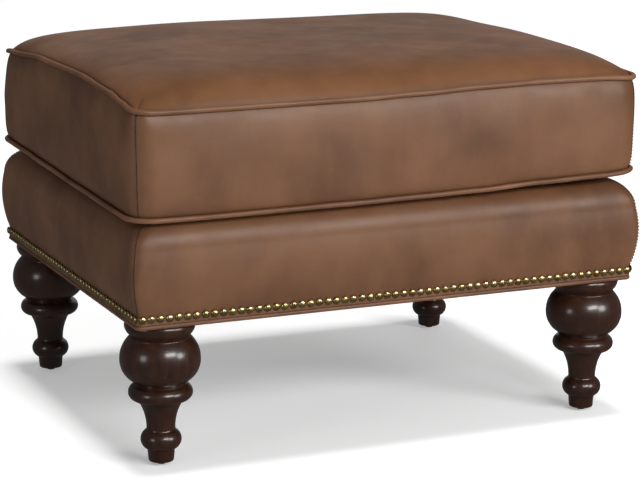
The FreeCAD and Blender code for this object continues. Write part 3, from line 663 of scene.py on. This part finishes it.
def make_cushion():
    """The cushion's leather as one closed skin; the inner part of its top panel is smoothed."""
    bm = box_grid(*CUSHION_STEPS)
    top_panel = [vertex for vertex in bm.verts
                 if vertex.co.z > 0.9999 and max(abs(vertex.co.x), abs(vertex.co.y)) < 0.9999]
    for vertex in bm.verts:
        u, v, w = vertex.co
        vertex.co = cushion_point(crowd(u, 1.45), crowd(v, 1.45), crowd(w, 1.3))
    for _ in range(TOP_SMOOTHING):
        bmesh.ops.smooth_vert(bm, verts=top_panel, factor=0.5, use_axis_z=True)
    cushion = finish_mesh("cushion_leather", bm, LEATHER)
    apply_modifiers(subdivided(cushion))
    paint_leather(cushion, 0.0, cushion_tuck_shade)
    dress(cushion, "cushion", "leather", "cushion_top_panel", "cushion_boxing", "cushion_bottom_panel",
          "cushion_wrap")


def seam_line(rises, height, share):
    """Points round the cushion along a seam."""
    points = []
    for u, v in round_trip(480, 1.5):
        x, y = rounded(u * CUSHION_HALF[0], v * CUSHION_HALF[1], CUSHION_HALF, corner_radius(u, v, share))
        points.append(Vector((x, y, height + wave(rises, round_the_plan(u, v)))))
    return points


def make_cushion_welts():
    for name, stands_for, rises, height, share in (
            ("cushion_welt_top", "cushion_top_welt", TOP_RISE, SEAM_HIGH, 1),
            ("cushion_welt_bottom", "cushion_bottom_welt", BOTTOM_RISE, SEAM_LOW, 0)):
        welt = tube_along(name, seam_line(rises, height, share), WELT_RADIUS, WELT_LEATHER, wobble=0.02)
        paint_leather(welt, 0.4)
        dress(welt, "cushion", "welt_leather", stands_for)


STITCH_PITCH = 4.8 * MM
STITCH_LONG = 3.2 * MM
STITCH_THICK = 1.2 * MM


def add_stitches(bm, line):
    """Lays thread stitches along a line of points, one per pitch."""
    along = 0.0
    for start, end in zip(line, line[1:]):
        step = end - start
        while along < step.length:
            turn = step.to_track_quat("Z", "Y").to_matrix().to_4x4()
            stretch = Matrix.Diagonal((STITCH_THICK, STITCH_THICK, STITCH_LONG, 1))
            place = Matrix.Translation(start + step * (along / step.length))
            bmesh.ops.create_uvsphere(bm, u_segments=6, v_segments=4, radius=0.5,
                                      matrix=place @ turn @ stretch)
            along += STITCH_PITCH
        along -= step.length


def make_cushion_stitches():
    bm = bmesh.new()
    for u in (-1, 1):
        for v in (-1, 1):
            outward = Vector((u, v, 0)).normalized() * 0.35 * MM
            add_stitches(bm, [cushion_point(u, v, 0.93 * (i / 20 - 1)) + outward for i in range(41)])
    dress(finish_mesh("cushion_seam_stitches", bm, THREAD), "cushion", "leather")


# Base: the leather over its frame
SIDE_SWELL = 9.5 * MM
STRAIGHT_TOP = LEG_TOP + 20 * MM
SHOULDER_LOW = LEG_TOP + 106 * MM
SHOULDER = 34 * MM
SHOULDER_CORNER = 26 * MM
DECK_BORDER = 95 * MM
# shares of the way up the profile at which the shoulder starts and ends
SHOULDER_FROM = 0.5
SHOULDER_TO = 0.85
SWELL_ARCH = 0.78 * math.pi
SWELL_POWER = 0.8
LOW_CORNER = BASE_CORNER + 7 * MM
BASE_GRAIN = 0.13
BASE_DEPTH = 1.6 * MM
BASE_STEPS = (72, 60, 44)
LEATHER_THICK = 1.6 * MM
BASE_WELT_TUCK = 4.35 * MM


def base_profile(share):
    """How far out and how high the base's leather is, and its corner's radius, at a share of the
    way from its hem to the inner edge of its border on the deck."""
    if share < SHOULDER_FROM:
        height = COVER_LOW + share / SHOULDER_FROM * (SHOULDER_LOW - COVER_LOW)
        side = max(0.0, (height - STRAIGHT_TOP) / (SHOULDER_LOW - STRAIGHT_TOP))
        out = SIDE_SWELL * math.sin(SWELL_ARCH * side) ** SWELL_POWER if side > 0 else 0.0
        return out, height, BASE_CORNER + (LOW_CORNER - BASE_CORNER) * side
    at_shoulder = SIDE_SWELL * math.sin(SWELL_ARCH) ** SWELL_POWER
    if share < SHOULDER_TO:
        turned_share = (share - SHOULDER_FROM) / (SHOULDER_TO - SHOULDER_FROM)
        turn = math.pi / 2 * turned_share
        out = at_shoulder - SHOULDER * (1 - math.cos(turn))
        height = SHOULDER_LOW + (COVER_HIGH - SHOULDER_LOW) * math.sin(turn)
        return out, height, LOW_CORNER + (SHOULDER_CORNER - LOW_CORNER) * turned_share
    reach = (share - SHOULDER_TO) / (1 - SHOULDER_TO)
    start = at_shoulder - SHOULDER
    return start + reach * (-DECK_BORDER - start), COVER_HIGH, SHOULDER_CORNER * (1 - 0.85 * reach)


def base_point(u, v, share):
    """Where a point of the base's leather lies, from its place on the plan and up its profile."""
    out, height, corner = base_profile(share)
    half = (BASE_HALF[0] + out, BASE_HALF[1] + out)
    x, y = rounded(u * half[0], v * half[1], half, corner)
    on_x, on_y = abs(u) > 0.999, abs(v) > 0.999
    taut = smooth(share / 0.15) * smooth((0.8 - share) / 0.2)
    push = taut * dents(Vector((x, y, height)), BASE_GRAIN, BASE_DEPTH, 5)
    if on_x and on_y:
        push = -SEAM_VALLEY * 0.8 * smooth(share / 0.05) * smooth((0.95 - share) / 0.1)
    x += math.copysign(push, u) if on_x else 0
    y += math.copysign(push, v) if on_y else 0
    return Vector((x, y, height))


def base_seam_shade(co):
    """How much painted shade a point gets: 1 in the corner seams of the base, 0 a few millimetres away."""
    across = abs(abs(co.x) - BASE_HALF[0] - abs(co.y) + BASE_HALF[1]) / math.sqrt(2)
    return 0.6 * math.exp(-(across / SEAM_SHADE) ** 2)


def make_base_cover():
    """The base's leather, from its hem over the shoulder to its border on the deck."""
    bm = box_grid(*BASE_STEPS)
    ends = [face for face in bm.faces if abs(face.normal.z) > 0.5]
    bmesh.ops.delete(bm, geom=ends, context="FACES")
    for vertex in bm.verts:
        u, v, w = vertex.co
        vertex.co = base_point(crowd(u, 1.7), crowd(v, 1.7), (w + 1) / 2)
    cover = finish_mesh("base_leather", bm, LEATHER)
    thick = cover.modifiers.new("leather", "SOLIDIFY")
    thick.thickness = LEATHER_THICK
    thick.offset = -1
    apply_modifiers(subdivided(cover))
    paint_leather(cover, 0.8, base_seam_shade)
    dress(cover, "base", "leather", "base_cover", "deck_pad", "side_wadding")


def make_base_stitches():
    bm = bmesh.new()
    for u in (-1, 1):
        for v in (-1, 1):
            outward = Vector((u, v, 0)).normalized() * 0.3 * MM
            add_stitches(bm, [base_point(u, v, 0.08 + 0.72 * i / 40) + outward for i in range(41)])
    dress(finish_mesh("base_seam_stitches", bm, THREAD), "base", "leather")


def make_base_welt():
    out = BASE_WELT_RADIUS - BASE_WELT_TUCK
    half = (BASE_HALF[0] + out, BASE_HALF[1] + out)
    points = []
    for u, v in round_trip(400, 1.6):
        x, y = rounded(u * half[0], v * half[1], half, BASE_CORNER + out)
        points.append(Vector((x, y, middle_height("base_welt"))))
    welt = tube_along("base_welt_cord", points, BASE_WELT_RADIUS, WELT_LEATHER, wobble=0.02, seed=5)
    paint_leather(welt, 1.3)
    dress(welt, "base", "welt_leather", "base_welt")


# Legs
def leg_outline():
    """Radius and height up the turned leg, in metres."""
    line = [(0.0, 4.5), (15.8, 4.5)]
    line += arc(line[-1], (16.95, 5.0), (17.4, 6.1), 4)
    line += [(18.6, 20.6), (18.8, 21.5)]
    line += arc(line[-1], (28.0, 35.5), (19.6, 48.5), 20)
    line += arc(line[-1], (21.6, 68.0), (29.5, 88.0), 16)
    line += arc(line[-1], (30.7, 89.8), (32.5, 91.0), 3)
    line += arc(line[-1], (41.7, 95.0), (44.0, 101.5), 10)
    line += arc(line[-1], (41.1, 109.1), (35.0, 113.0), 10)
    line += [(35.0, 116.0), (34.0, 116.0)]
    line += arc(line[-1], (50.0, 129.5), (55.0, 149.0), 16)
    line += arc(line[-1], (50.2, 168.2), (41.0, 180.0), 16)
    line += [(41.5, 180.2), (41.5, 183.0)]
    line += arc(line[-1], (46.1, 188.4), (48.2, 195.0), 8)
    line += arc(line[-1], (46.8, 200.0), (42.0, 203.0), 6)
    line += [(0.0, 203.0)]
    return [(radius * MM, height * MM) for radius, height in line]


def make_legs():
    for corner in ("front_left", "front_right", "back_left", "back_right"):
        low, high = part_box("leg_" + corner)
        bm = turned(leg_outline())
        bmesh.ops.translate(bm, verts=bm.verts, vec=((low.x + high.x) / 2, (low.y + high.y) / 2, 0))
        leg = finish_mesh("turned_leg_" + corner, bm, WOOD)
        dress(leg, "base", "stained_wood", "leg_" + corner)


# Nails
NAIL_RADIUS = 5.5 * MM
NAIL_DOME = 3.4 * MM
NAIL_RIM = 0.45 * MM
NAIL_PITCH = 12.7 * MM
NAIL_CORNER = 6.7 * MM


def nail_head():
    """A domed nail head along -Y from the origin, with a few dozen faces."""
    line = [(0.0, 0.0), (NAIL_RADIUS - 0.15 * MM, 0.0), (NAIL_RADIUS, NAIL_RIM)]
    line += [(NAIL_RADIUS * math.cos(turn), NAIL_RIM + (NAIL_DOME - NAIL_RIM) * math.sin(turn))
             for turn in (0.35, 0.75, 1.15)]
    line += [(0.0, NAIL_DOME)]
    bm = turned(line, around=12)
    bmesh.ops.rotate(bm, verts=bm.verts, cent=(0, 0, 0), matrix=Matrix.Rotation(math.pi / 2, 3, "X"))
    return bm


def make_nails():
    """A row of hand-driven nails on each side, a little out of line."""
    chance = random.Random(11)
    head = bpy.data.meshes.new("nail_head")
    one = nail_head()
    one.to_mesh(head)
    one.free()
    for turn, side in enumerate(("front", "right", "back", "left")):
        span, away = BASE_HALF if turn % 2 == 0 else reversed(BASE_HALF)
        run = 2 * (span - NAIL_CORNER)
        steps = round(run / NAIL_PITCH)
        bm = bmesh.new()
        for i in range(steps + 1):
            start = len(bm.verts)
            bm.from_mesh(head)
            bm.verts.ensure_lookup_table()
            fresh = bm.verts[start:]
            tilt = Matrix.Rotation(chance.uniform(-0.06, 0.06), 3, "X") @ Matrix.Rotation(
                chance.uniform(-0.06, 0.06), 3, "Z")
            bmesh.ops.rotate(bm, verts=fresh, cent=(0, 0, 0), matrix=tilt)
            along = run * (i / steps - 0.5) + chance.uniform(-0.25, 0.25) * MM
            bmesh.ops.translate(bm, verts=fresh, vec=(along, -away - BAND_THICK,
                                                      NAIL_HEIGHT + chance.uniform(-0.3, 0.3) * MM))
        quarters = Matrix.Rotation(turn * math.pi / 2, 3, "Z")
        bmesh.ops.rotate(bm, verts=bm.verts, cent=(0, 0, 0), matrix=quarters)
        row = finish_mesh("nail_heads_" + side, bm, BRASS)
        wall = away + BAND_THICK
        paint(row, "rim", lambda co: smooth(1 - (max(abs(co.x) if turn % 2 else abs(co.y), wall) - wall)
                                            / (1.5 * MM)))
        dress(row, "base", "antique_brass", "nails_" + side)


# Cloths, zip and staples
CLOTH_THICK = 0.7 * MM
LEG_PLACE = tuple((a + b) / 2 for a, b in zip(*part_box("leg_back_right")))[:2]
LEG_HOLE = 51.5 * MM
STAPLE_SIZE = (10 * MM, 1.1 * MM, 0.6 * MM)
STAPLE_PITCH = 38 * MM
STAPLE_INSET = 8 * MM
STAPLE_FROM_CORNER = 95 * MM
ZIP_FACE = CUSHION_HALF[1] + SWELL
TAPE_THICK = 0.9 * MM
TOOTH_PITCH = 2.5 * MM
TOOTH_SIZE = (1.5 * MM, 2.0 * MM, 3.6 * MM)


def cloth_sheet(name, node_name, material, slot_name, steps, sag, hole=0.0):
    """A stretched panel of cloth in its node's box, sagging a little, with round holes for the legs
    where it has them."""
    low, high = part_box(node_name)
    bm = bmesh.new()
    bmesh.ops.create_grid(bm, x_segments=steps[0], y_segments=steps[1], size=1)
    half = ((high.x - low.x) / 2, (high.y - low.y) / 2)
    legs = [Vector((x * LEG_PLACE[0], y * LEG_PLACE[1])) for x in (-1, 1) for y in (-1, 1)]
    for vertex in bm.verts:
        u, v = vertex.co.x, vertex.co.y
        down = sag * (1 - u * u) * (1 - v * v)
        ripple = dents(Vector((u * half[0], v * half[1], 0)), 0.06, 0.5 * MM, 9) * (1 - u ** 8) * (1 - v ** 8)
        vertex.co = Vector((u * half[0], v * half[1], high.z - CLOTH_THICK / 2 - down + ripple))
    if hole:
        inside = [face for face in bm.faces
                  if min((face.calc_center_median().xy - leg).length for leg in legs) < hole]
        bmesh.ops.delete(bm, geom=inside, context="FACES")
        for vertex in bm.verts:
            leg = min(legs, key=lambda place: (vertex.co.xy - place).length)
            away = vertex.co.xy - leg
            if vertex.is_boundary and away.length < hole + 9 * MM:
                spot = leg + away.normalized() * hole
                vertex.co.x = min(max(spot.x, -half[0]), half[0])
                vertex.co.y = min(max(spot.y, -half[1]), half[1])
    area = sum(face.calc_area() for face in bm.faces)
    sheet = finish_mesh(name, bm, material)
    thick = sheet.modifiers.new("cloth", "SOLIDIFY")
    thick.thickness = CLOTH_THICK
    thick.offset = 0
    apply_modifiers(sheet)
    dress(sheet, "base", slot_name, node_name)
    return sheet


def make_staples():
    """Wire staples that hold the dust cover to the underside of the rails."""
    bm = bmesh.new()
    low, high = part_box("dust_cover")
    half = (high.x - STAPLE_INSET, high.y - STAPLE_INSET)
    for turn in range(4):
        span, away = half if turn % 2 == 0 else reversed(half)
        run = 2 * (span - STAPLE_FROM_CORNER)
        steps = round(run / STAPLE_PITCH)
        for i in range(steps + 1):
            tilt = Matrix.Rotation(0.25 * math.sin(7.0 * i + turn), 4, "Z")
            place = Matrix.Translation((run * (i / steps - 0.5), -away, low.z - 0.25 * MM))
            stretch = Matrix.Diagonal((*STAPLE_SIZE, 1))
            side = Matrix.Rotation(turn * math.pi / 2, 4, "Z")
            bmesh.ops.create_cube(bm, size=1, matrix=side @ place @ tilt @ stretch)
    bmesh.ops.bevel(bm, geom=bm.edges, offset=0.15 * MM, segments=1, profile=0.5, affect="EDGES", material=-1)
    dress(finish_mesh("dust_cover_staples", bm, ZINC, False), "base", "zinc_steel")


def make_zip():
    """The cushion's zip: two strips of tape with a row of brass teeth between them."""
    low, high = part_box("zip_tape")
    chain_low, chain_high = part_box("zip_chain")
    middle = (chain_low.z + chain_high.z) / 2
    bm = bmesh.new()
    for side in (-1, 1):
        strip = bmesh.ops.create_grid(bm, x_segments=130, y_segments=4, size=1)["verts"]
        for vertex in strip:
            u, v = vertex.co.x, (vertex.co.y + 1) / 2
            tall = 0.5 * MM + v * ((high.z - low.z) / 2 - 0.5 * MM)
            puff = 0.25 * MM * (1 + math.sin(u * 130 + side)) * v
            vertex.co = Vector((u * (high.x - low.x) / 2, ZIP_FACE + 0.5 * MM + puff, middle + side * tall))
    tape = finish_mesh("zip_tape_strips", bm, ZIP_TAPE)
    thick = tape.modifiers.new("tape", "SOLIDIFY")
    thick.thickness = TAPE_THICK
    thick.offset = 0
    apply_modifiers(tape)
    dress(tape, "cushion", "zip_tape", "zip_tape")
    bm = bmesh.new()
    count = int((chain_high.x - chain_low.x) / TOOTH_PITCH)
    for i in range(count):
        side = 1 if i % 2 else -1
        place = Matrix.Translation(((i - (count - 1) / 2) * TOOTH_PITCH, ZIP_FACE + 1.2 * MM,
                                    middle + side * 0.6 * MM))
        stretch = Matrix.Diagonal((*TOOTH_SIZE, 1))
        bmesh.ops.create_cube(bm, size=1, matrix=place @ stretch)
    bmesh.ops.bevel(bm, geom=bm.edges, offset=0.25 * MM, segments=1, profile=0.5, affect="EDGES", material=-1)
    dress(finish_mesh("zip_teeth", bm, ZIP_BRASS, False), "cushion", "zip_brass", "zip_chain")


dress_cad_nodes()
make_camera()
make_studio()
make_floor()
make_cushion()
make_cushion_welts()
make_cushion_stitches()
make_base_cover()
make_base_stitches()
make_base_welt()
make_legs()
make_nails()
cloth_sheet("deck_cloth_panel", "deck_cloth", DECK_CLOTH, "deck_cloth", (56, 41), 0.4 * MM)
cloth_sheet("dust_cover_panel", "dust_cover", DUST_CLOTH, "dust_cloth", (90, 72), 0.0, LEG_HOLE)
make_staples()
make_zip()

bpy.context.scene.view_settings.view_transform = "Standard"
